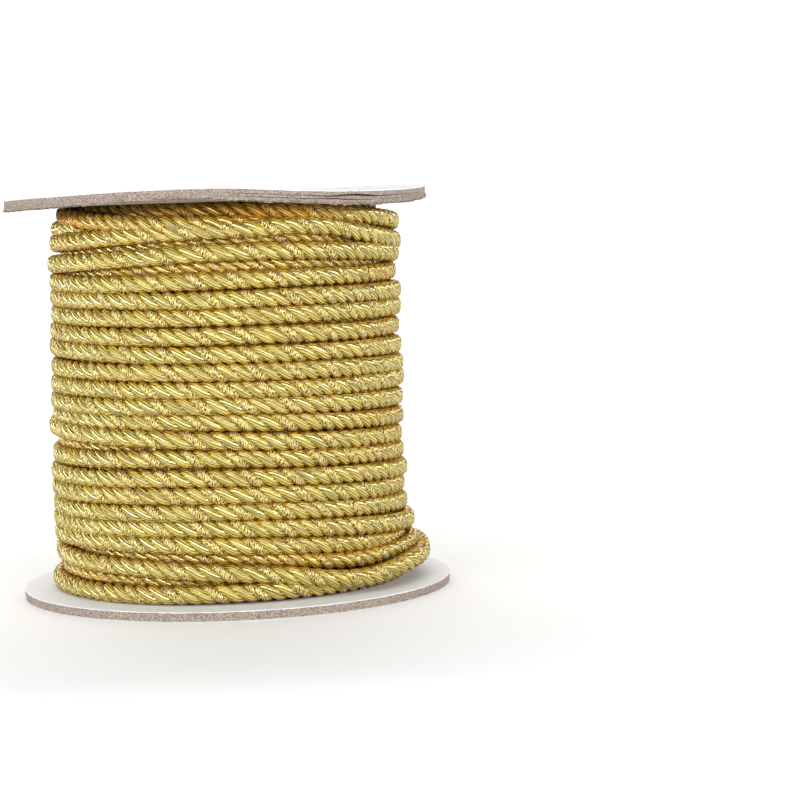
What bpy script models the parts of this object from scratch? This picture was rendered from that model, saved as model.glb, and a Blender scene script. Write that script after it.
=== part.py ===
"""A spool of three-strand twisted cord: two card discs, and the cord wound between them.

Metres, +Z up. The origin is the middle of the spool's underside. Left is -X and the front is -Y.
The cord is one solid. Its skin follows every turn of the outer layer, a left-handed helix that
was wound by hand, so each turn has its own height and reach at the left, front and right.
"""

import bmesh
import bpy
import numpy as np

MM = 0.001

# The card discs. The upper one has slipped a little to the left.
LOWER_DISC_DIAMETER = 106 * MM
UPPER_DISC_DIAMETER = 104 * MM
LOWER_DISC_X = 0.5 * MM
UPPER_DISC_X = -1.5 * MM
CARD_THICKNESS = 2.4 * MM
SPOOL_HEIGHT = 99.0 * MM
DISC_SIDES = 72

# The cord, and the space that the wound cord keeps to each disc.
CORD_DIAMETER = 4.5 * MM
DISC_GAP = 0.3 * MM
STEPS_PER_TURN = 48

# The turns of the outer layer that show, from the top down: the height of the cord's middle above
# the spool's underside, and how far its skin reaches from the spool's axis, in millimetres. The
# top turn is squeezed in under the disc. The last but one hangs out at the right.
TURN_COLUMNS = ("left_z", "front_z", "right_z", "left_reach", "front_reach", "right_reach")
TURNS = [
    (94.5, 94.4, 90.1, 40.7, 42.0, 43.9),
    (87.4, 90.0, 85.5, 43.0, 43.6, 44.1),
    (82.3, 84.7, 82.4, 43.6, 43.9, 43.5),
    (78.3, 78.2, 77.9, 43.1, 43.7, 42.8),
    (74.4, 73.9, 73.2, 43.3, 43.8, 43.9),
    (70.4, 69.7, 69.2, 43.4, 43.7, 43.6),
    (66.3, 65.3, 64.5, 43.9, 43.9, 42.9),
    (62.3, 61.0, 59.6, 44.0, 43.7, 43.4),
    (57.6, 56.8, 55.4, 43.8, 43.9, 43.8),
    (53.1, 52.7, 51.4, 44.0, 43.8, 43.7),
    (49.2, 48.8, 46.8, 44.1, 43.9, 43.3),
    (45.9, 44.9, 42.0, 43.6, 43.7, 43.3),
    (42.9, 40.8, 37.6, 44.9, 44.1, 42.7),
    (36.0, 36.4, 33.4, 44.5, 43.8, 43.0),
    (31.7, 32.0, 29.0, 44.7, 44.0, 43.6),
    (27.8, 27.9, 25.0, 44.9, 44.1, 43.0),
    (23.8, 23.9, 20.8, 44.8, 44.0, 43.6),
    (20.1, 20.0, 16.0, 44.7, 44.2, 45.2),
    (16.5, 16.1, 11.3, 44.6, 44.0, 42.8),
    (12.5, 9.3, 7.6, 44.6, 45.0, 49.5),
    (4.7, 5.0, 4.7, 45.5, 45.0, 43.0),
]

# The spare turns past either end, which the discs cut off: how far apart they are, and how much
# the ones under the upper disc lie sunk below the turn that shows.
SPARE_TURNS = 2
SPARE_PITCH = 4.3 * MM
SUNK = 3.0 * MM

# Where a turn's shoulder lies, as a share of the way from its crown to the groove.
SHOULDER = 0.6
# Skin this near to a disc's gap ends there, so that no sliver of a face is left.
SNAP = 0.2 * MM


def clear_scene():
    """Takes every object out of the scene."""
    for item in list(bpy.data.objects):
        bpy.data.objects.remove(item, do_unlink=True)


def make_material(name, color, roughness, metallic=0.0):
    """A Principled material in one linear colour."""
    material = bpy.data.materials.new(name)
    material.use_nodes = True
    shader = material.node_tree.nodes["Principled BSDF"]
    shader.inputs["Base Color"].default_value = (*color, 1.0)
    shader.inputs["Roughness"].default_value = roughness
    shader.inputs["Metallic"].default_value = metallic
    return material


def add_object(name, shape, material):
    """Turns a bmesh into a named object with its material."""
    mesh = bpy.data.meshes.new(name)
    shape.to_mesh(mesh)
    shape.free()
    mesh.shade_smooth()
    mesh.set_sharp_from_angle(angle=np.radians(50))
    mesh.materials.append(material)
    item = bpy.data.objects.new(name, mesh)
    bpy.context.collection.objects.link(item)
    return item


def make_disc(name, diameter, x, bottom, material):
    """A flat round disc of card, its underside at the height `bottom`."""
    shape = bmesh.new()
    bmesh.ops.create_cone(
        shape,
        cap_ends=True,
        segments=DISC_SIDES,
        radius1=diameter / 2,
        radius2=diameter / 2,
        depth=CARD_THICKNESS,
    )
    disc = add_object(name, shape, material)
    disc.location = (x, 0, bottom + CARD_THICKNESS / 2)
    return disc


def quarter_knots(left, front, right):
    """The values a quarter turn apart: left, front, right, and halfway to the next left."""
    following = np.append(left[1:], left[-1])
    return np.stack([left, front, right, (right + following) / 2], axis=1).ravel()


def smooth(knots, turns):
    """A Catmull-Rom curve through the knots, read at a place counted in turns."""
    place = np.clip(np.asarray(turns) * 4, 0, len(knots) - 1)
    index = np.floor(place).astype(int)
    t = place - index
    before, start, end, after = (
        knots[np.clip(index + shift, 0, len(knots) - 1)] for shift in (-1, 0, 1, 2)
    )
    return 0.5 * (
        2 * start
        + (end - before) * t
        + (2 * before - 5 * start + 4 * end - after) * t**2
        + (3 * (start - end) + after - before) * t**3
    )


def turn_knots():
    """Heights and reaches of all turns in metres, with the spare ones, as two rows of knots."""
    column = dict(zip(TURN_COLUMNS, np.array(TURNS).T * MM))
    count = np.arange(SPARE_TURNS, 0, -1)
    heights, reaches = [], []
    for side in ("left", "front", "right"):
        height, reach = column[side + "_z"], column[side + "_reach"]
        above = height[0] + count * SPARE_PITCH
        below = height[-1] - count[::-1] * SPARE_PITCH
        heights.append(np.concatenate([above, height, below]))
        sunk, last = np.full(SPARE_TURNS, reach[0] - SUNK), np.full(SPARE_TURNS, reach[-1])
        reaches.append(np.concatenate([sunk, reach, last]))
    return quarter_knots(*heights), quarter_knots(*reaches)


def fall_of_round(offset):
    """How far a round cord's skin lies below its crown at a distance to the side of it."""
    radius = CORD_DIAMETER / 2
    return radius - np.sqrt(radius**2 - np.minimum(np.abs(offset), radius) ** 2)


def skin_of_turns():
    """Heights and radii of the wound skin, a row for each step of azimuth and a column downwards.

    Each turn gives four points: its crown, its lower shoulder, the groove below, and the upper
    shoulder of the next turn. The last row of azimuth is the first one again, a turn further on.
    """
    z_knots, reach_knots = turn_knots()
    all_turns = len(TURNS) + 2 * SPARE_TURNS
    azimuth = np.arange(STEPS_PER_TURN + 1) / STEPS_PER_TURN
    place = azimuth[:, None] + np.arange(all_turns - 1)[None, :]
    crown_z, next_z = smooth(z_knots, place), smooth(z_knots, place + 1)
    crown_r, next_r = smooth(reach_knots, place), smooth(reach_knots, place + 1)
    half = (crown_z - next_z) / 2
    groove_r = np.minimum(crown_r, next_r) - fall_of_round(half)
    z = [crown_z, crown_z - SHOULDER * half, crown_z - half, next_z + SHOULDER * half]
    fall = fall_of_round(SHOULDER * half)
    r = [crown_r, crown_r - fall, groove_r, next_r - fall]
    rows = STEPS_PER_TURN + 1
    return np.stack(z, axis=2).reshape(rows, -1), np.stack(r, axis=2).reshape(rows, -1)


def cut_between(z, r, low, high):
    """Brings every point past the two heights to the place where its row crosses them."""
    for row_z, row_r in zip(z, r):
        for level, past in ((high, row_z > high - SNAP), (low, row_z < low + SNAP)):
            crossing = np.interp(-level, -row_z, row_r)
            row_z[past], row_r[past] = level, crossing


def make_wound_cord(name, material):
    """The wound cord: the skin of its turns as a spiral grid, closed by a flat face at each end."""
    z, r = skin_of_turns()
    low = CARD_THICKNESS + DISC_GAP
    high = SPOOL_HEIGHT - CARD_THICKNESS - DISC_GAP
    cut_between(z, r, low, high)
    # A turn runs from the left (-X) by the front (-Y) to the right (+X).
    angle = np.pi + 2 * np.pi * np.arange(STEPS_PER_TURN) / STEPS_PER_TURN
    x, y = r[:-1] * np.cos(angle)[:, None], r[:-1] * np.sin(angle)[:, None]
    shape = bmesh.new()
    points = [
        [shape.verts.new(point) for point in zip(*column)] for column in zip(x, y, z[:-1])
    ]
    down = len(points[0])
    for step in range(STEPS_PER_TURN):
        # Past the last step the spiral meets its own start one turn lower, four points down.
        here, following = points[step], points[(step + 1) % STEPS_PER_TURN]
        shift = 4 if step == STEPS_PER_TURN - 1 else 0
        for i in range(down - 1 - shift):
            corners = (here[i], here[i + 1], following[i + 1 + shift], following[i + shift])
            shape.faces.new(corners)
    shape.faces.new([column[0] for column in reversed(points)])
    shape.faces.new([column[-1] for column in points])
    bmesh.ops.remove_doubles(shape, verts=shape.verts, dist=0.001 * MM)
    bmesh.ops.recalc_face_normals(shape, faces=shape.faces)
    return add_object(name, shape, material)


clear_scene()
card = make_material("card", (0.62, 0.58, 0.53), 0.85)
cord = make_material("gold_cord", (0.55, 0.41, 0.05), 0.4, 0.2)
make_disc("bottom_flange", LOWER_DISC_DIAMETER, LOWER_DISC_X, 0, card)
make_disc("top_flange", UPPER_DISC_DIAMETER, UPPER_DISC_X, SPOOL_HEIGHT - CARD_THICKNESS, card)
make_wound_cord("wound_cord", cord)
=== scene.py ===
"""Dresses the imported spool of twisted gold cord: camera, cord, card discs and studio.

Metres, +Z up. The origin is the middle of the spool's underside. Left is -X and the front is -Y.
"""

import bpy
import numpy as np
from mathutils import Matrix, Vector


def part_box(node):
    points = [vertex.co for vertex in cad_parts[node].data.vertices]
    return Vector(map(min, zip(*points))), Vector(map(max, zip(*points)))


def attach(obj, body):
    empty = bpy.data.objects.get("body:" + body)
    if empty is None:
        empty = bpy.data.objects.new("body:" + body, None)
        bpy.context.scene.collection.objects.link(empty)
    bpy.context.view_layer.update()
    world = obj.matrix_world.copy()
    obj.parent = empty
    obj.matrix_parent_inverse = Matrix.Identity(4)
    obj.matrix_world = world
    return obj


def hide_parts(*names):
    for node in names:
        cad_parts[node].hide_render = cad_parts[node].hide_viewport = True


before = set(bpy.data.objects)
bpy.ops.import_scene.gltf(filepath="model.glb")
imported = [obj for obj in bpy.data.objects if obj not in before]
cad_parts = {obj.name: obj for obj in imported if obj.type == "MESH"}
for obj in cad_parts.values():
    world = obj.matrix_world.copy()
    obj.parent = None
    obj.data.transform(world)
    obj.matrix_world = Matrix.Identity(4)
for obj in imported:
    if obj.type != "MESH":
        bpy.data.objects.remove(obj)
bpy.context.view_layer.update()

MM = 0.001

# The camera stands 0.64 m in front of the spool, level with the upper card, and looks a little
# down. It is rolled by two degrees, as the photograph was. Lens and sensor are in millimetres,
# and angles in radians.
CAMERA_LENS = 116.35
CAMERA_SENSOR = 36.0
CAMERA_PLACE = np.array([-0.4, -644.5, 99.9]) * MM
CAMERA_YAW, CAMERA_PITCH, CAMERA_ROLL = 0.0666, 0.0844, 0.0339


def camera_axes(yaw, pitch, roll):
    """Right, up and back of a camera that looks along +Y, when it is turned to the right by the
    yaw, down by the pitch and clockwise by the roll."""
    right = np.array([np.cos(yaw), -np.sin(yaw), 0.0])
    ahead = np.array([np.sin(yaw), np.cos(yaw), 0.0])
    forward = np.cos(pitch) * ahead - np.sin(pitch) * np.array([0.0, 0.0, 1.0])
    up = np.cross(right, forward)
    rolled_right = np.cos(roll) * right - np.sin(roll) * up
    rolled_up = np.sin(roll) * right + np.cos(roll) * up
    return rolled_right, rolled_up, -forward


def place_by_axes(item, axes, place):
    """Puts a camera or a light at a place, with its right, up and back along the three axes."""
    rows = [[*(axis[i] for axis in axes), place[i]] for i in range(3)]
    item.matrix_world = Matrix(rows + [[0, 0, 0, 1]])


camera_data = bpy.data.cameras.new("camera")
camera_data.lens = CAMERA_LENS
camera_data.sensor_width = CAMERA_SENSOR
camera = bpy.data.objects.new("camera", camera_data)
bpy.context.scene.collection.objects.link(camera)
place_by_axes(camera, camera_axes(CAMERA_YAW, CAMERA_PITCH, CAMERA_ROLL), CAMERA_PLACE)
bpy.context.scene.camera = camera


# The twisted cord. Three strands, two of satin yarn and one of metallised yarn, are laid round
# each other into a 4.5 mm cord, once round in each lay. It is wound tight, so its turns press
# each other a little square, and unevenly, so each turn has its own height and reach.
CORD_DIAMETER = 4.5 * MM
STRANDS = 3
STRAND_OFFSET = 1.04 * MM
STRAND_RADIUS = 1.22 * MM
LAY = 9.7 * MM
SQUARENESS = 3.0
# Each strand is pressed flat by its two neighbours, this far to either side of its outer side.
NEIGHBOUR_SIDE = np.radians(150)
# How much the lay differs along the cord, as a share, and how far a strand strays round the cord,
# in radians, each with the length of cord over which it comes and goes.
LAY_DRIFT, LAY_DRIFT_LENGTH = 0.05, 210 * MM
STRAND_STRAY, STRAND_STRAY_LENGTH = 0.4, 27 * MM

# The turns of the outer layer, from the upper card downwards: the height of the cord's middle
# above the spool's underside and the reach of its skin from the spool's axis, in millimetres.
# The first turn lies sunk under the upper card, and the last behind the one before it.
TURN_COLUMNS = ("left_z", "front_z", "right_z", "left_reach", "front_reach", "right_reach")
TURNS = [
    (94.4, 94.4, 94.4, 35.0, 36.5, 38.5),
    (94.4, 94.6, 90.1, 37.5, 41.3, 43.9),
    (87.4, 90.0, 85.5, 43.0, 43.6, 44.1),
    (82.3, 84.7, 82.4, 43.6, 43.9, 43.5),
    (78.3, 78.2, 77.9, 43.1, 43.7, 42.8),
    (74.4, 73.9, 73.2, 43.3, 43.8, 43.9),
    (70.4, 69.7, 69.2, 43.4, 43.7, 43.6),
    (66.3, 65.3, 64.5, 43.9, 43.9, 42.9),
    (62.3, 61.0, 59.6, 44.0, 43.7, 43.4),
    (57.6, 56.8, 55.4, 43.8, 43.9, 43.8),
    (53.1, 52.7, 51.4, 44.0, 43.8, 43.7),
    (49.2, 48.8, 46.8, 44.1, 43.9, 43.3),
    (45.9, 44.9, 42.0, 43.6, 43.7, 43.3),
    (42.9, 40.8, 37.6, 44.9, 44.1, 42.7),
    (36.0, 36.4, 33.4, 44.5, 43.8, 43.0),
    (31.7, 32.0, 29.0, 44.7, 44.0, 43.6),
    (27.8, 27.9, 25.0, 44.9, 44.1, 43.0),
    (23.8, 23.9, 20.8, 44.8, 44.0, 43.6),
    (20.1, 20.0, 16.0, 44.7, 44.2, 45.2),
    (16.5, 16.1, 11.3, 44.6, 44.0, 42.8),
    (12.5, 9.8, 7.8, 44.6, 45.0, 49.5),
    (4.7, 5.0, 4.7, 45.5, 45.0, 43.0),
    (4.7, 4.7, 4.7, 41.0, 38.0, 38.0),
]
# Where a turn strays from the smooth curve through the table: the place in turns from the start,
# how far up and out it goes in millimetres, and over how much of a turn.
STRAY_COLUMNS = ("place", "up", "out", "spread")
OUTER_STRAYS = [
    (2.34, 1.4, 0.0, 0.055),
    (20.36, -2.7, 0.0, 0.06),
    (20.53, 1.9, -1.0, 0.05),
]


def smooth(knots, place):
    """A Catmull-Rom curve through knots that are one apart, read at each place."""
    place = np.clip(place, 0, len(knots) - 1)
    index = np.floor(place).astype(int)
    t = place - index
    before, start, end, after = (
        knots[np.clip(index + shift, 0, len(knots) - 1)] for shift in (-1, 0, 1, 2)
    )
    return 0.5 * (
        2 * start
        + (end - before) * t
        + (2 * before - 5 * start + 4 * end - after) * t**2
        + (3 * (start - end) + after - before) * t**3
    )


def waver(along, spacing, seed):
    """Smooth random numbers of about unit size: a curve through random knots `spacing` apart."""
    count = int(np.max(along) / spacing) + 3
    return smooth(np.random.default_rng(seed).normal(size=count), along / spacing)


KNOTS_PER_TURN = 4


def quarter_knots(left, front, right):
    """Values a quarter turn apart: left, front, right, and halfway to the next left."""
    following = np.append(left[1:], left[-1])
    return np.stack([left, front, right, (right + following) / 2], axis=1).ravel()


MEASURED_SIDES = ("left", "front", "right")
turn_table = dict(zip(TURN_COLUMNS, np.array(TURNS).T * MM))
HEIGHT_KNOTS = quarter_knots(*(turn_table[side + "_z"] for side in MEASURED_SIDES))
REACH_KNOTS = quarter_knots(*(turn_table[side + "_reach"] for side in MEASURED_SIDES))


def stray(place, strays, column):
    """The sum of the strays' bell curves at each place, for the column "up" or "out"."""
    table = dict(zip(STRAY_COLUMNS, np.array(strays).T))
    share = np.exp(-(((place[:, None] - table["place"]) / table["spread"]) ** 2))
    return share @ (table[column] * MM)


def outer_turns(place):
    """Height and radius of the outer layer's middle at each place, counted in turns."""
    knot = place * KNOTS_PER_TURN
    height = smooth(HEIGHT_KNOTS, knot) + stray(place, OUTER_STRAYS, "up")
    reach = smooth(REACH_KNOTS, knot) + stray(place, OUTER_STRAYS, "out")
    return height, reach - CORD_DIAMETER / 2


def round_the_spool(place, height, radius):
    """Points on a path round the axis: a turn starts at the left and runs on by the front."""
    angle = np.pi + 2 * np.pi * place
    return np.stack([radius * np.cos(angle), radius * np.sin(angle), height], axis=1)


def lengths(path):
    """How far along the path each of its points lies."""
    return np.append(0, np.cumsum(np.linalg.norm(np.diff(path, axis=0), axis=1)))


def evenly(path, step):
    """The same path with its points one step apart. Columns past the third are carried along."""
    along = lengths(path[:, :3])
    even = np.linspace(0, along[-1], int(along[-1] / step) + 1)
    return np.stack([np.interp(even, along, column) for column in path.T], axis=1)


def unit(vectors):
    """The vectors at length one."""
    return vectors / np.linalg.norm(vectors, axis=-1, keepdims=True)


def square_to(vectors, directions):
    """The part of each vector that is square to its direction, at length one."""
    return unit(vectors - np.sum(vectors * directions, axis=1, keepdims=True) * directions)


def across_cord(path):
    """The cord's outward and upward directions, square to its path, at each of its points."""
    tangent = unit(np.gradient(path, axis=0))
    outward = square_to(path * [1, 1, 0], tangent)
    return outward, np.cross(outward, tangent)


def strand_middle(path, strand, seed):
    """A strand's middle: the cord's middle plus a spoke that turns once in each lay.

    The spoke's angle falls by a full turn for each lay, and by a third of a turn from one strand
    to the next, so it turns clockwise for someone who looks along the cord. It strays a little,
    and so does the lay. Returns the points and the spokes.
    """
    outward, upward = across_cord(path)
    along = lengths(path)
    local_lay = LAY * (1 + LAY_DRIFT * waver(along, LAY_DRIFT_LENGTH, seed))
    lays = np.append(0, np.cumsum(np.diff(along) / local_lay[1:]))
    angle = -2 * np.pi * (lays + strand / STRANDS)
    angle += STRAND_STRAY * waver(along, STRAND_STRAY_LENGTH, seed + 1)
    spoke = np.cos(angle)[:, None] * outward + np.sin(angle)[:, None] * upward
    return path + STRAND_OFFSET * spoke, spoke


def pressed_section(points):
    """A strand's radii at even angles from its spoke: round, and flat towards its neighbours.

    A flat is the plane between two strands, as far from the strand's middle as the offset times
    the cosine of 30 degrees. Its radius is that over the cosine of the angle to the neighbour,
    which counts as 0.1 at least, because the sides that face away have no flat.
    """
    angle = np.linspace(-np.pi, np.pi, points, endpoint=False)
    flat = STRAND_OFFSET * np.cos(np.pi / 6)
    facing = np.maximum(np.cos(angle - NEIGHBOUR_SIDE), np.cos(angle + NEIGHBOUR_SIDE))
    return np.minimum(STRAND_RADIUS, flat / np.maximum(facing, 0.1))


def squared(rings, path):
    """The rings moved away from the cord's middle, so that the cord is squarer than round.

    A point at the angle a in the section moves out by the factor (|cos a|^n + |sin a|^n)^(-1/n),
    where n is the squareness, and round is 2.
    """
    outward, upward = (axis[:, None, :] for axis in across_cord(path))
    offset = rings - path[:, None, :]
    out, up = (np.sum(offset * axis, axis=2, keepdims=True) for axis in (outward, upward))
    cosine, sine = np.abs((out, up)) / np.hypot(out, up)
    stretch = (cosine**SQUARENESS + sine**SQUARENESS) ** (-1 / SQUARENESS) - 1
    return rings + stretch * (out * outward + up * upward)


def tube(middle, spoke, section):
    """A tube along a strand, as rings: round each point of its middle, square to its way, the
    section's radii at even angles from the spoke."""
    tangent = unit(np.gradient(middle, axis=0))
    out = square_to(spoke, tangent)
    side = np.cross(tangent, out)
    angle = np.linspace(-np.pi, np.pi, len(section), endpoint=False)
    outwards = (np.cos(angle) * section)[None, :, None] * out[:, None, :]
    sideways = (np.sin(angle) * section)[None, :, None] * side[:, None, :]
    return middle[:, None, :] + outwards + sideways


def add_tubes(name, tubes, around, covers=None):
    """One piece from tubes, each a grid of rings that is closed at both ends, with a UV map.

    U is the length along the tube in metres and V the share of the way round. `covers` gives,
    for each ring of each tube, the distance from the spool's axis where the attribute "depth" is
    0. It is -1 half a cord further out, on the crown of a turn, and 1 half a cord further in.
    The faces point outwards, because each ring runs anticlockwise for someone who looks back
    along the tube.
    """
    places, loops, sizes, maps = [], [], [], []
    first = 0
    for rings in tubes:
        count = len(rings)
        along = lengths(rings.mean(axis=1))
        row, column = np.mgrid[0 : count - 1, 0:around]
        corners = [(row, column), (row, column + 1), (row + 1, column + 1), (row + 1, column)]
        quads = np.stack([first + r * around + c % around for r, c in corners], axis=-1)
        first_ring = first + np.arange(around)
        caps = [first_ring[::-1], first_ring + (count - 1) * around]
        places.append(rings.reshape(-1, 3))
        loops += [quads.ravel(), *caps]
        sizes += [np.full(quads[..., 0].size, 4), [around, around]]
        spots = [np.stack([along[r], c / around], axis=-1) for r, c in corners]
        maps += [np.stack(spots, axis=-2).reshape(-1, 2), np.zeros((2 * around, 2))]
        first += count * around
    sizes, loops = np.concatenate(sizes), np.concatenate(loops)
    mesh = bpy.data.meshes.new(name)
    mesh.vertices.add(first)
    mesh.vertices.foreach_set("co", np.concatenate(places).ravel())
    mesh.loops.add(len(loops))
    mesh.loops.foreach_set("vertex_index", loops)
    mesh.polygons.add(len(sizes))
    mesh.polygons.foreach_set("loop_start", np.append(0, np.cumsum(sizes)[:-1]))
    mesh.uv_layers.new(name="along").data.foreach_set("uv", np.concatenate(maps).ravel())
    if covers is not None:
        cover = np.concatenate([np.repeat(row, around) for row in covers])
        reach = np.hypot(*np.concatenate(places)[:, :2].T)
        depth = mesh.attributes.new("depth", "FLOAT", "POINT")
        depth.data.foreach_set("value", (cover - reach) / (CORD_DIAMETER / 2))
    mesh.update(calc_edges=True)
    mesh.shade_smooth()
    piece = bpy.data.objects.new(name, mesh)
    bpy.context.scene.collection.objects.link(piece)
    return piece


def dress(piece, material, node):
    """Gives a piece its material, hangs it on the root body, and hides the CAD node it stands in
    for.
    """
    piece.data.materials.append(material)
    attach(piece, "root")
    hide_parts(node)


def linear(hex_colour):
    """An sRGB hex colour as linear red, green, blue and alpha, by the curve that sRGB sets."""
    value = np.array([int(hex_colour[i : i + 2], 16) for i in (1, 3, 5)]) / 255
    low, high = value / 12.92, ((value + 0.055) / 1.055) ** 2.4
    return (*np.where(value <= 0.04045, low, high), 1.0)


def add_node(tree, kind, inputs, stops=(), **settings):
    """Adds a node with its settings and links.

    An input goes by its name, or by its number where a node has several of one name. Its value
    is a number, a colour, a socket, or a node for that node's first socket. `stops` are a colour
    ramp's positions and sRGB hex colours.
    """
    item = tree.nodes.new("ShaderNode" + kind)
    for key, value in settings.items():
        setattr(item, key, value)
    for key, value in inputs.items():
        if isinstance(value, bpy.types.Node):
            value = value.outputs[0]
        if isinstance(value, bpy.types.NodeSocket):
            tree.links.new(value, item.inputs[key])
        else:
            item.inputs[key].default_value = value
    for i, (position, colour) in enumerate(stops):
        elements = item.color_ramp.elements
        element = elements[i] if i < len(elements) else elements.new(position)
        element.position, element.color = position, linear(colour)
    return item


def new_material(name, **sockets):
    """A material, its node tree and its shader, with constants on the shader's own sockets."""
    material = bpy.data.materials.new(name)
    material.use_nodes = True
    shader = material.node_tree.nodes["Principled BSDF"]
    for key, value in sockets.items():
        shader.inputs[key.replace("_", " ")].default_value = value
    return material, material.node_tree, shader


def yarn_pattern(tree, yarns, turn, grain, seed):
    """The yarns round a strand: the ridge of each yarn, and a noise that runs along them.

    A place's count is V times the yarns, less U times the yarns over the length of one turn, so
    each yarn leans round the strand. The ridge is the sine of half a turn for each count,
    without its sign: 0 between two yarns and 1 on a yarn's crown. The noise's grains are a yarn
    wide and `grain` long.
    """
    place = add_node(tree, "UVMap", {}, uv_map="along")
    split = add_node(tree, "SeparateXYZ", {"Vector": place})
    count = add_node(tree, "Math", {0: split.outputs["Y"], 1: yarns}, operation="MULTIPLY")
    lean = {0: split.outputs["X"], 1: -yarns / turn, 2: count}
    count = add_node(tree, "Math", lean, operation="MULTIPLY_ADD")
    half_turns = add_node(tree, "Math", {0: count, 1: np.pi}, operation="MULTIPLY")
    wave = add_node(tree, "Math", {0: half_turns}, operation="SINE")
    ridge = add_node(tree, "Math", {0: wave}, operation="ABSOLUTE")
    run = add_node(tree, "Math", {0: split.outputs["X"], 1: 1 / grain}, operation="MULTIPLY")
    spot = add_node(tree, "CombineXYZ", {"X": run, "Y": count, "Z": seed})
    grains = {"Vector": spot, "Scale": 1.0, "Detail": 2.0, "Roughness": 0.6}
    return ridge, add_node(tree, "TexNoise", grains)


# The painted shade that tints a yarn, from the crown of a turn to below the outer layer: orange
# halfway in, where light only comes from yarn to yarn, and brown below, where little gets in at
# all.
PAINTED_SHADE_BY_DEPTH = ((0.1, "#FFFFFF"), (0.42, "#FACE9C"), (0.6, "#BEA076"), (0.75, "#CAB496"))


def shade_by_depth(tree, colour):
    """A colour times the painted shade at each place's depth, of which -1 to 1 is the ramp's 0 to
    1.
    """
    depth = add_node(tree, "Attribute", {}, attribute_name="depth")
    share = add_node(tree, "MapRange", {0: depth.outputs["Fac"], 1: -1.0, 2: 1.0})
    painted_shade = add_node(tree, "ValToRGB", {0: share}, stops=PAINTED_SHADE_BY_DEPTH)
    both = {0: 1.0, 6: colour, 7: painted_shade}
    return add_node(tree, "Mix", both, data_type="RGBA", blend_type="MULTIPLY").outputs[2]


# Satin: bright viscose yarn, laid side by side in the strand with hardly a twist. It is gold and
# shines softly. Its colour has painted shade and light, darker olive between two yarns and
# lighter on each yarn's crown, though the yarns are all one colour. The real yarns are finer than
# the picture can show, so they are drawn 0.6 mm wide.
satin, tree, shader = new_material(
    "satin_viscose_yarn",
    Roughness=0.23,
    IOR=2.0,
    Specular_IOR_Level=1.0,
    Subsurface_Weight=0.2,
    Subsurface_Radius=(1.0, 0.6, 0.2),
    Subsurface_Scale=0.5 * MM,
)
ridge, streak = yarn_pattern(tree, yarns=12, turn=-12 * MM, grain=7 * MM, seed=1.0)
tone = add_node(tree, "Math", {0: ridge, 1: 0.5, 2: streak}, operation="MULTIPLY_ADD")
# The ramp paints shade dark olive where the ridge is low, between two yarns, and light on the
# crowns.
stops = ((0.6, "#3A2A04"), (0.78, "#887420"), (0.98, "#D2BC4E"))
colour = add_node(tree, "ValToRGB", {0: tone}, stops=stops)
colour = shade_by_depth(tree, colour)
# The relief is turned in: each yarn is a shallow hollow between two fine crests, which breaks
# the light into lines as long and thin as those on the real ones.
bump = add_node(tree, "Bump", {"Height": ridge, "Distance": 0.012 * MM}, invert=True)
tree.links.new(colour, shader.inputs["Base Color"])
# The highlights take the same painted shade, so they are painted dimmer in deep places.
tree.links.new(shade_by_depth(tree, linear("#FFF8C6")), shader.inputs["Specular Tint"])
tree.links.new(bump.outputs[0], shader.inputs["Normal"])

# Metallised yarn: gold film, slit fine and spun steeply round the strand. It glints in short
# strokes with dark gaps between them, from its metal and its relief, and its colour is painted
# pale on the same strokes as a painted glint. It too is finer than the picture can show, and is
# drawn 0.5 mm wide.
metallised, tree, shader = new_material("metallised_film_yarn", Metallic=0.6, Roughness=0.3)
ridge, relief_and_painted_glint = yarn_pattern(tree, yarns=16, turn=6 * MM, grain=0.35 * MM, seed=5.0)
tone = add_node(tree, "Math", {0: ridge, 1: 0.04, 2: relief_and_painted_glint}, operation="MULTIPLY_ADD")
# The pale stop paints glints where the noise is high. The same noise raises the film's relief.
stops = ((0.43, "#342606"), (0.49, "#B49A3E"), (0.56, "#F2E096"))
colour = add_node(tree, "ValToRGB", {0: tone}, stops=stops)
colour = shade_by_depth(tree, colour)
bump = add_node(tree, "Bump", {"Height": relief_and_painted_glint, "Distance": 0.4 * MM})
tree.links.new(colour, shader.inputs["Base Color"])
tree.links.new(bump.outputs[0], shader.inputs["Normal"])

# The outer layer, wound turn below turn, with its end tucked in behind the last turn. The cord
# follows the table's curve, which is read every half degree, and wavers a little. Its three
# strands are laid round that path.
OUTER_STEP = LAY / 15
OUTER_SECTION_POINTS = 10
READINGS_PER_TURN = 720
OUTER_END = len(TURNS) - 0.4
# How far the cord wavers up and out, each with the share of a turn over which it comes and goes.
WAVER_UP, WAVER_UP_TURNS = 0.13 * MM, 0.09
WAVER_OUT, WAVER_OUT_TURNS = 0.14 * MM, 0.07

place = np.linspace(0, OUTER_END, int(OUTER_END * READINGS_PER_TURN))
outer_height, outer_radius = outer_turns(place)
outer_height += WAVER_UP * waver(place, WAVER_UP_TURNS, seed=11)
outer_radius += WAVER_OUT * waver(place, WAVER_OUT_TURNS, seed=12)
outer_path = evenly(round_the_spool(place, outer_height, outer_radius), OUTER_STEP)

# A turn that crosses the top one: it comes from behind, shows at the left and dives under at the
# front. Degrees are round the spool from the right, by the back. Height and reach are in
# millimetres.
CROSSING_COLUMNS = ("degrees", "z", "reach")
CROSSING = [
    (60, 94.3, 37.0),
    (90, 94.3, 39.0),
    (120, 94.4, 40.0),
    (150, 94.5, 40.4),
    (180, 94.4, 40.7),
    (210, 93.3, 42.2),
    (240, 91.9, 43.1),
    (270, 91.2, 42.8),
    (300, 91.9, 39.5),
    (330, 92.5, 36.0),
]
crossing_table = dict(zip(CROSSING_COLUMNS, np.array(CROSSING).T))
knot = np.linspace(0, len(CROSSING) - 1, READINGS_PER_TURN)
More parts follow.
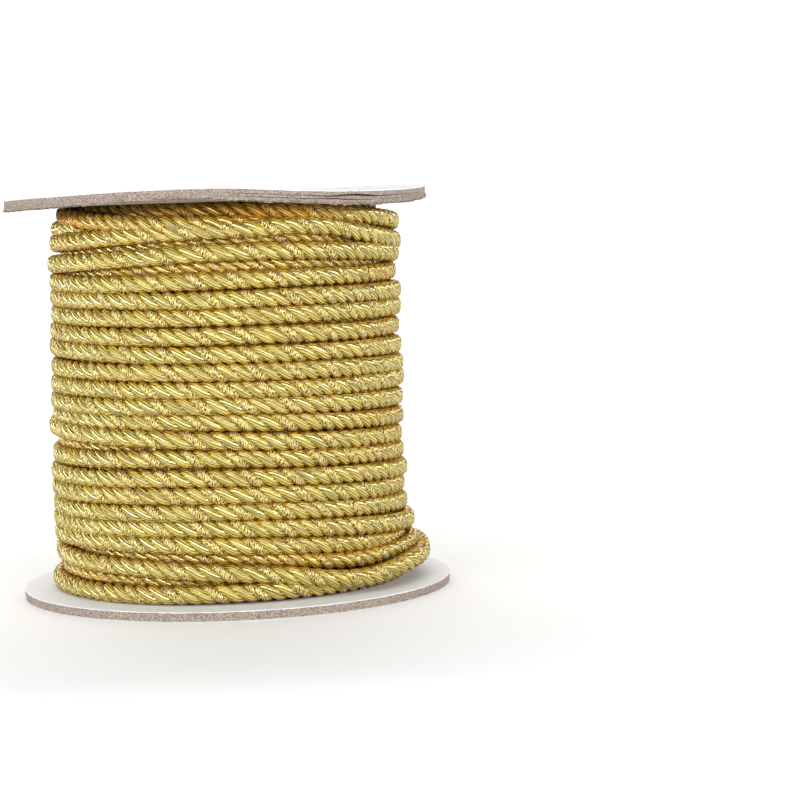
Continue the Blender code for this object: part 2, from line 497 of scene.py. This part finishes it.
# A place counts turns from the left, which is half a turn round from the right.
crossing_path = round_the_spool(
    smooth(crossing_table["degrees"], knot) / 360 - 0.5,
    smooth(crossing_table["z"], knot) * MM,
    smooth(crossing_table["reach"], knot) * MM - CORD_DIAMETER / 2,
)
crossing_path = evenly(crossing_path, OUTER_STEP)

# Less light gets to a turn that lies sunk below the others, so its depth, and with it the painted
# shade on it, counts from the usual radius of a turn's middle.
USUAL_RADIUS = 41.3 * MM
cord_materials = (satin, satin, metallised)
strand_names = ("satin_strand_1", "satin_strand_2", "metallised_strand")
section = pressed_section(OUTER_SECTION_POINTS)
covers = [
    np.maximum(np.hypot(*path[:, :2].T), USUAL_RADIUS) for path in (outer_path, crossing_path)
]
for strand, (name, material) in enumerate(zip(strand_names, cord_materials)):
    tubes = [
        squared(tube(*strand_middle(path, strand, seed), section), path)
        for path, seed in ((outer_path, 21), (crossing_path, 31))
    ]
    piece = add_tubes("outer_" + name, tubes, OUTER_SECTION_POINTS, covers)
    dress(piece, material, "wound_cord")

# The layer below. Each of its turns lies in the groove between two outer turns, as deep as round
# cords sink into it, so it rises and shows wherever two outer turns stand apart.
UNDER_STEP = LAY / 10
UNDER_SECTION_POINTS = 7
# The distance between the middles of two cords that lie in each other's groove, and how far apart
# two outer turns may stand before the turn below them comes out no further.
NEST = 3.9 * MM
WIDEST_GROOVE = 1.8 * NEST
# It comes nearly to the outside under the crossing turn at the left, and behind the turn that
# hangs out at the bottom right.
UNDER_STRAYS = [(1.0, 0.0, 4.0, 0.16), (19.5, 0.8, 4.0, 0.1)]
# Its depth, which sets the painted shade on it, counts from a little outside its own middle, and
# from further in by a share of the way that it comes out, because light reaches it there.
UNDER_COVER = 0.5 * MM
COVER_LOST = 0.25

place = np.linspace(0, len(TURNS) - 2, (len(TURNS) - 2) * READINGS_PER_TURN)
upper_height, upper_radius = outer_turns(place)
lower_height, lower_radius = outer_turns(place + 1)
spacing = np.clip(upper_height - lower_height, 0, WIDEST_GROOVE)
cover = (upper_radius + lower_radius) / 2
come_out = stray(place, UNDER_STRAYS, "out")
under_radius = cover - np.sqrt(NEST**2 - (spacing / 2) ** 2) + come_out
under_cover = under_radius + UNDER_COVER - COVER_LOST * come_out
under_height = (upper_height + lower_height) / 2 + stray(place, UNDER_STRAYS, "up")
under_path = round_the_spool(place, under_height, under_radius)
under_path = evenly(np.column_stack([under_path, under_cover]), UNDER_STEP)
section = pressed_section(UNDER_SECTION_POINTS)
for strand, (name, material) in enumerate(zip(strand_names, cord_materials)):
    tubes = [tube(*strand_middle(under_path[:, :3], strand, seed=41), section)]
    piece = add_tubes("under_" + name, tubes, UNDER_SECTION_POINTS, [under_path[:, 3]])
    dress(piece, material, "wound_cord")

# The windings below those two layers, of which only dark glimpses show between the turns. They
# are one drum with a rounded rib for each turn, which stands out by the sine of half a turn for
# each rib, without its sign.
DRUM_RADIUS = 35.6 * MM
DRUM_PITCH = 4.3 * MM
DRUM_RIB = 1.3 * MM
DRUM_SIDES = 120
READINGS_PER_RIB = 8
# Its depth counts from well outside it, so that it has the painted shade of the deepest places.
DRUM_COVER = 41.5 * MM

low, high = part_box("wound_cord")
z = np.linspace(low[2], high[2], READINGS_PER_RIB * int((high[2] - low[2]) / DRUM_PITCH) + 1)
ribs = DRUM_RADIUS + DRUM_RIB * np.abs(np.sin(np.pi * (z - low[2]) / DRUM_PITCH))
angle = 2 * np.pi * np.arange(DRUM_SIDES) / DRUM_SIDES
drum = np.stack(
    [
        ribs[:, None] * np.cos(angle),
        ribs[:, None] * np.sin(angle),
        np.repeat(z[:, None], DRUM_SIDES, axis=1),
    ],
    axis=-1,
)
piece = add_tubes("inner_windings", [drum], DRUM_SIDES, [np.full(len(z), DRUM_COVER)])
dress(piece, satin, "wound_cord")


# The card discs. Greyboard, die-cut, with white paper pasted on both faces. The board's edge is
# rough and speckled. The upper disc is bent: its rim rises at the front left, hangs at the left
# and at the front right, and its plies have come a little apart at the front right.
def card_material(name, stops, roughness, grain, depth):
    """Card: a mottled colour between the stops, with a fine fibrous grain of the given size."""
    material, tree, shader = new_material(name, Roughness=roughness, Specular_IOR_Level=0.3)
    position = add_node(tree, "TexCoord", {}).outputs["Object"]
    fibres = {"Vector": position, "Scale": 1 / grain, "Detail": 4.0, "Roughness": 0.7}
    noise = add_node(tree, "TexNoise", fibres)
    bump = add_node(tree, "Bump", {"Height": noise, "Distance": depth})
    colour = add_node(tree, "ValToRGB", {0: noise}, stops=stops)
    tree.links.new(colour.outputs[0], shader.inputs["Base Color"])
    tree.links.new(bump.outputs[0], shader.inputs["Normal"])
    return material


stops = ((0.35, "#564A40"), (0.5, "#9A8C80"), (0.65, "#C2B4A8"))
greyboard = card_material("greyboard_die_cut_edge", stops, 0.9, 0.35 * MM, 0.03 * MM)
stops = ((0.3, "#DADADC"), (0.7, "#E6E6E8"))
white_paper = card_material("white_liner_paper", stops, 0.7, 2.0 * MM, 0.01 * MM)

DISC_STEPS = 360
PAPER = 0.25 * MM
LINER = 0.15 * MM
# The rings of a face as shares of the radius, and those of the edge as shares of the thickness.
FACE_RINGS = np.array([0.03, 0.5, 0.8, 0.85, 0.9, 0.94, 0.97, 0.99, 1.0])
EDGE_RINGS = np.linspace(0, 1, 5)[1:-1]
# The rim's bend and its raggedness start at a share of the radius, and are full one width further
# out. The bend comes in by a power, and the raggedness up and down is a share of that outwards.
BEND_START, BEND_WIDTH, BEND_POWER = 0.8, 0.2, 1.5
RAGGED_START, RAGGED_WIDTH, RAGGED_HEIGHT = 0.97, 0.03, 0.5
# Two faces that meet at more than this are shaded apart.
SHARP_EDGE = np.radians(40)
# The bend of the upper disc's rim: how far its upper and lower edges stand above the flat disc's,
# in millimetres, by degrees round the spool from the right, by the back.
BEND_COLUMNS = ("degrees", "upper", "lower")
BEND = [
    (0, 0.0, -0.3),
    (60, 0.0, 0.0),
    (120, 0.0, 0.0),
    (170, -0.3, -0.7),
    (195, -0.45, -1.0),
    (215, 0.0, -0.6),
    (230, 0.35, -0.1),
    (245, 0.8, 0.4),
    (260, 0.95, 0.85),
    (268, 0.9, 0.75),
    (276, 0.75, 0.0),
    (290, -0.2, -0.85),
    (303, -0.7, -1.6),
    (315, -0.85, -2.0),
    (330, -0.8, -1.8),
    (345, -0.5, -1.1),
    (360, 0.0, -0.3),
]


def add_layer(name, x, radius, low, high, ragged, seed, material, node):
    """One layer of a card disc, in rings from its upper face over its rim to its lower face.

    `low` and `high` are the heights of its two faces, each as the flat disc's and then the rim's
    for each angle. Past the bend's start a face goes from one to the other by its share of the
    way to the rim, to a power. `ragged` is how far the rim strays at random.
    """
    angle = 2 * np.pi * np.arange(DISC_STEPS) / DISC_STEPS
    faces, edge = len(FACE_RINGS), len(EDGE_RINGS)
    share = np.concatenate([FACE_RINGS, np.ones(edge), FACE_RINGS[::-1]])[:, None]
    down = np.concatenate([np.zeros(faces), EDGE_RINGS, np.ones(faces)])[:, None]
    rough = np.random.default_rng(seed).normal(size=(len(share), DISC_STEPS)) * ragged
    on_rim = np.clip((share - RAGGED_START) / RAGGED_WIDTH, 0, 1)
    bent = np.clip((share - BEND_START) / BEND_WIDTH, 0, 1) ** BEND_POWER
    (flat_low, rim_low), (flat_high, rim_high) = low, high
    top = flat_high + (rim_high - flat_high) * bent
    bottom = flat_low + (rim_low - flat_low) * bent
    r = radius * share + rough * on_rim
    z = top + (bottom - top) * down + RAGGED_HEIGHT * rough[::-1] * on_rim * (down > 0)
    grid = np.stack([x + r * np.cos(angle), r * np.sin(angle), z], axis=-1)
    # The rings are anticlockwise from above, so they have to run upwards.
    piece = add_tubes(name, [grid[::-1]], DISC_STEPS)
    piece.data.set_sharp_from_angle(angle=SHARP_EDGE)
    dress(piece, material, node)


low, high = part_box("bottom_flange")
x, radius = (low[0] + high[0]) / 2, (high[0] - low[0]) / 2
# Each layer's two heights, and in millimetres how far its rim stands in and how ragged it is.
for name, bottom, top, inset, ragged, seed, material in (
    ("lower_disc_liner", low[2], low[2] + LINER, 0, 0.04, 31, white_paper),
    ("lower_disc_board", low[2] + LINER, high[2] - PAPER, 0.15, 0.12, 32, greyboard),
    ("lower_disc_paper", high[2] - PAPER, high[2], 0, 0.04, 33, white_paper),
):
    flat = [(height, np.full(DISC_STEPS, height)) for height in (bottom, top)]
    add_layer(name, x, radius - inset * MM, *flat, ragged * MM, seed, material, "bottom_flange")

low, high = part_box("top_flange")
x, radius = (low[0] + high[0]) / 2, (high[0] - low[0]) / 2
degrees = np.arange(DISC_STEPS) * 360 / DISC_STEPS
bend_table = dict(zip(BEND_COLUMNS, np.array(BEND).T))
rim_high = high[2] + np.interp(degrees, bend_table["degrees"], bend_table["upper"]) * MM
rim_low = low[2] + np.interp(degrees, bend_table["degrees"], bend_table["lower"]) * MM
# How much thicker the rim has become, as its plies have come apart. They part at two heights, as
# shares of the way up, round the middle of the split.
thicker = rim_high - rim_low - (high[2] - low[2])
LOWER_SPLIT, UPPER_SPLIT = 0.34, 0.56
SPLIT_MIDDLE, SPLIT_WIDTH = 303, 28
split = np.exp(-(((degrees - SPLIT_MIDDLE) / SPLIT_WIDTH) ** 2))
# How far the split's edges wander up and down, and by what share its gaps waver, each with the
# degrees over which it comes and goes.
WANDER, WANDER_DEGREES = 0.09 * MM, 7
GAP_WAVER, GAP_WAVER_DEGREES = 0.35, 11
# Each ply's lower and upper edge as shares of the way up, how much of the thickening lies open
# below it as a gap, and in millimetres how far its rim stands in and how ragged it is.
for name, bottom, top, gap, inset, ragged, seed, material in (
    ("upper_disc_liner", 0.0, 0.06, 0.0, -0.1, 0.22, 41, greyboard),
    ("upper_disc_lower_ply", 0.06, LOWER_SPLIT, 0.0, 0.1, 0.08, 42, greyboard),
    ("upper_disc_middle_ply", LOWER_SPLIT, UPPER_SPLIT, 0.22, 0.12, 0.06, 43, greyboard),
    ("upper_disc_upper_ply", UPPER_SPLIT, 0.9, 0.3, 0.1, 0.06, 44, greyboard),
    ("upper_disc_paper", 0.9, 1.0, 0.0, 0.0, 0.04, 45, white_paper),
):
    edges = []
    for share in (bottom, top):
        at_rim = rim_low + (rim_high - rim_low) * share
        if share in (LOWER_SPLIT, UPPER_SPLIT):
            at_rim += WANDER * waver(degrees, WANDER_DEGREES, round(100 * share)) * split
        edges.append((low[2] + (high[2] - low[2]) * share, at_rim))
    wavering = np.clip(1 + GAP_WAVER * waver(degrees, GAP_WAVER_DEGREES, seed), 0, None)
    edges[0] = (edges[0][0], edges[0][1] + gap * thicker * split * wavering)
    add_layer(name, x, radius - inset * MM, *edges, ragged * MM, seed, material, "top_flange")

# The studio: a pale floor that curves up behind, a ring of low strip lights all the way round, a
# soft light in front, a wide one overhead, and a light for the backdrop.
FLOOR_HALF = 1.2
FLOOR_FRONT = -1.2
FLOOR_BACK = 1.5
FLOOR_CURVE = 0.6
BACKDROP_TOP = 2.5
FLOOR_COLUMNS = 3
CURVE_POINTS = 13

across = np.linspace(-FLOOR_HALF, FLOOR_HALF, FLOOR_COLUMNS)
bend = np.linspace(0, np.pi / 2, CURVE_POINTS)
floor_end = FLOOR_BACK + FLOOR_CURVE
profile_y = np.concatenate([[FLOOR_FRONT], FLOOR_BACK + FLOOR_CURVE * np.sin(bend), [floor_end]])
profile_z = np.concatenate([[0.0], FLOOR_CURVE * (1 - np.cos(bend)), [BACKDROP_TOP]])
rows, columns = len(profile_y), len(across)
points = np.stack(
    [np.tile(across, rows), np.repeat(profile_y, columns), np.repeat(profile_z, columns)], axis=1
)
row, column = np.mgrid[0 : rows - 1, 0 : columns - 1]
corner = row * columns + column
faces = np.stack([corner, corner + 1, corner + columns + 1, corner + columns], axis=-1)
floor_mesh = bpy.data.meshes.new("floor")
floor_mesh.from_pydata(points.tolist(), [], faces.reshape(-1, 4).tolist())
floor_mesh.shade_smooth()
floor = bpy.data.objects.new("floor", floor_mesh)
bpy.context.scene.collection.objects.link(floor)
matt_white = {"Base_Color": linear("#F4F4F4"), "Roughness": 0.9}
floor_mesh.materials.append(new_material("floor_matt_white", **matt_white)[0])


SPOOL_MIDDLE = (0, 0, 50 * MM)


def add_softbox(
    name, azimuth, elevation, distance, width, height, brightness, target=SPOOL_MIDDLE
):
    """A rectangular soft light that faces its target from a distance.

    Azimuth is in degrees from the front, round by the right, and elevation in degrees above the
    floor. The light's power is pi times its area times its brightness.
    """
    data = bpy.data.lights.new(name, "AREA")
    data.shape = "RECTANGLE"
    data.size, data.size_y = width, height
    data.energy = np.pi * width * height * brightness
    light = bpy.data.objects.new(name, data)
    light.visible_camera = False
    bpy.context.scene.collection.objects.link(light)
    turn, rise = np.radians(azimuth), np.radians(elevation)
    back = np.array([np.sin(turn) * np.cos(rise), -np.cos(turn) * np.cos(rise), np.sin(rise)])
    right = unit(np.cross([0, 0, 1.0], back))
    place_by_axes(light, (right, np.cross(back, right), back), np.array(target) + back * distance)


# The strip lights' brightness, from the front round by the right and the back to the left.
RING_BRIGHTNESS = [28.0, 33.0, 36.0, 14.0, 12.0, 10.0, 13.0, 15.0, 17.0, 23.0, 38.0, 33.0]
STRIP = {"elevation": 12, "distance": 1.2, "width": 0.64, "height": 0.05}
for i, brightness in enumerate(RING_BRIGHTNESS):
    azimuth = 360 * i / len(RING_BRIGHTNESS)
    add_softbox("ring_light_%d" % (i + 1), azimuth, brightness=brightness, **STRIP)
# The wide lights: azimuth, elevation, distance, width, height, brightness and target.
for name, *light in (
    ("front_softbox", 0, 50, 1.4, 2.0, 1.2, 0.5, SPOOL_MIDDLE),
    ("overhead_softbox", 0, 75, 1.6, 1.5, 1.5, 0.6, SPOOL_MIDDLE),
    ("backdrop_light", 0, 70, 1.2, 2.0, 0.5, 9.0, (0, 1.6, 0.4)),
):
    add_softbox(name, *light)

# The world is white where the camera sees it past the floor, and lights the spool only dimly.
WORLD_LIGHT, WORLD_SEEN = 0.15, 1.0
world = bpy.data.worlds.new("studio")
world.use_nodes = True
background = world.node_tree.nodes["Background"]
background.inputs["Color"].default_value = linear("#FFFFFF")
seen = add_node(world.node_tree, "LightPath", {}).outputs["Is Camera Ray"]
strength = add_node(world.node_tree, "MapRange", {0: seen, 3: WORLD_LIGHT, 4: WORLD_SEEN})
world.node_tree.links.new(strength.outputs[0], background.inputs["Strength"])
bpy.context.scene.world = world
bpy.context.scene.view_settings.view_transform = "Standard"
